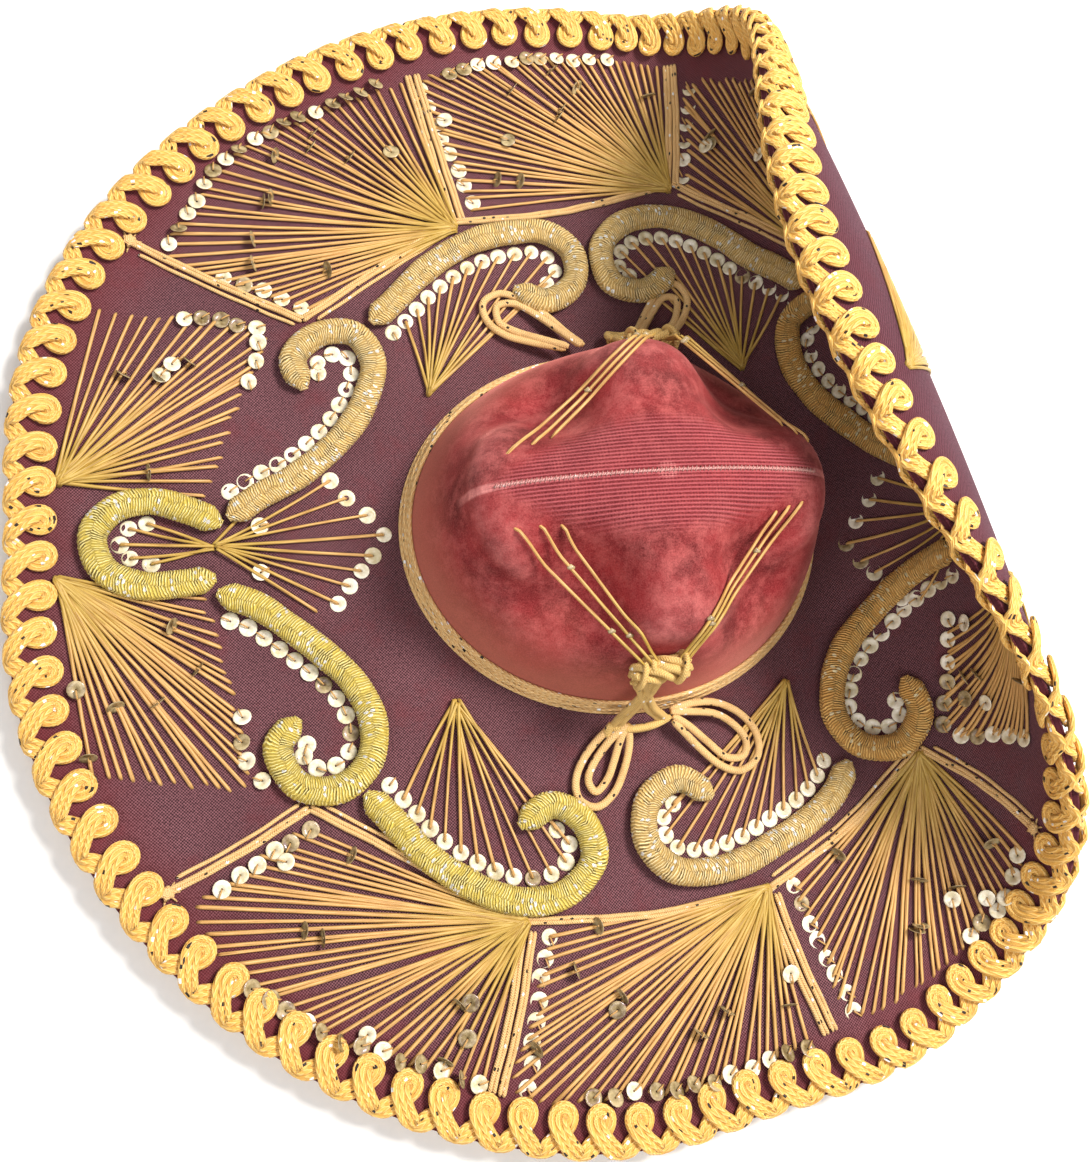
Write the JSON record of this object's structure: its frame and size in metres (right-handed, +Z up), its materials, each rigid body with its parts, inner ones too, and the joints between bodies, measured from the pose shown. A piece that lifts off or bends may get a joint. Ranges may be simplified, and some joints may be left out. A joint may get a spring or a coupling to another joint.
{
  "type": "sombrero hat",
  "caption": "Wide-brimmed sombrero with a dented velvet crown, a brim rolled up at the back, gold padded scrolls, thread fans, corded band, side bows and braided rim.",
  "frame": {"origin": "centre of the head opening on the plane the hat rests on", "axes": "+Z up through the crown, -X towards the front of the hat, -Y towards the wearer's left, the brim rolls up at +X"},
  "size_m": [0.461, 0.5736, 0.1308],
  "materials": {
    "pink_red_velvet": "crushed velvet",
    "seam_thread": "stitched",
    "wool_felt": "pressed felt",
    "lining_cotton": "plain weave",
    "sweatband_leather": "smooth",
    "maroon_cloth": "coarse weave",
    "gold_braid": "metallic thread",
    "gold_cord": "metallic thread",
    "gold_thread": "metallic thread",
    "gold_wrapped_cord": "metallic thread",
    "cream_sequin": "pearl"
  },
  "bodies": {
    "root": {"crown_felt": "wool_felt", "crown_velvet_left": "pink_red_velvet", "crown_velvet_right": "pink_red_velvet", "crown_seam": "seam_thread", "crown_lining": "lining_cotton", "sweatband": "sweatband_leather", "brim_felt": "wool_felt", "brim_top_cloth": "maroon_cloth", "brim_under_cloth": "maroon_cloth", "rim_braid": "gold_braid", "hatband_lower_cord": "gold_cord", "hatband_plait": "gold_cord", "hatband_upper_cord": "gold_cord", "knot_left": "gold_cord", "knot_right": "gold_cord", "bow_left": "gold_cord", "bow_right": "gold_cord", "crown_threads_front_left": "gold_thread", "crown_threads_back_left": "gold_thread", "crown_threads_front_right": "gold_thread", "crown_threads_back_right": "gold_thread", "scroll_front": "gold_wrapped_cord", "scroll_back": "gold_wrapped_cord", "scroll_front_left": "gold_wrapped_cord", "scroll_back_left": "gold_wrapped_cord", "scroll_front_right": "gold_wrapped_cord", "scroll_back_right": "gold_wrapped_cord", "side_scroll_front_left": "gold_wrapped_cord", "side_scroll_back_left": "gold_wrapped_cord", "side_scroll_front_right": "gold_wrapped_cord", "side_scroll_back_right": "gold_wrapped_cord", "frame_cord_left": "gold_cord", "frame_cord_right": "gold_cord", "divider_cords_front_left": "gold_cord", "divider_cords_back_left": "gold_cord", "divider_cords_front_right": "gold_cord", "divider_cords_back_right": "gold_cord", "fan_inner_front_left": "gold_thread", "fan_inner_back_left": "gold_thread", "fan_inner_front_right": "gold_thread", "fan_inner_back_right": "gold_thread", "fan_butterfly_front": "gold_thread", "fan_butterfly_back": "gold_thread", "fan_front_left": "gold_thread", "fan_front_right": "gold_thread", "fan_back_left": "gold_thread", "fan_back_right": "gold_thread", "fan_corner_front_left": "gold_thread", "fan_corner_back_left": "gold_thread", "fan_corner_front_right": "gold_thread", "fan_corner_back_right": "gold_thread", "fan_side_left": "gold_thread", "fan_side_right": "gold_thread", "sequins_front": "cream_sequin", "sequins_back": "cream_sequin", "sequins_left": "cream_sequin", "sequins_right": "cream_sequin"}
  },
  "joints": []
}
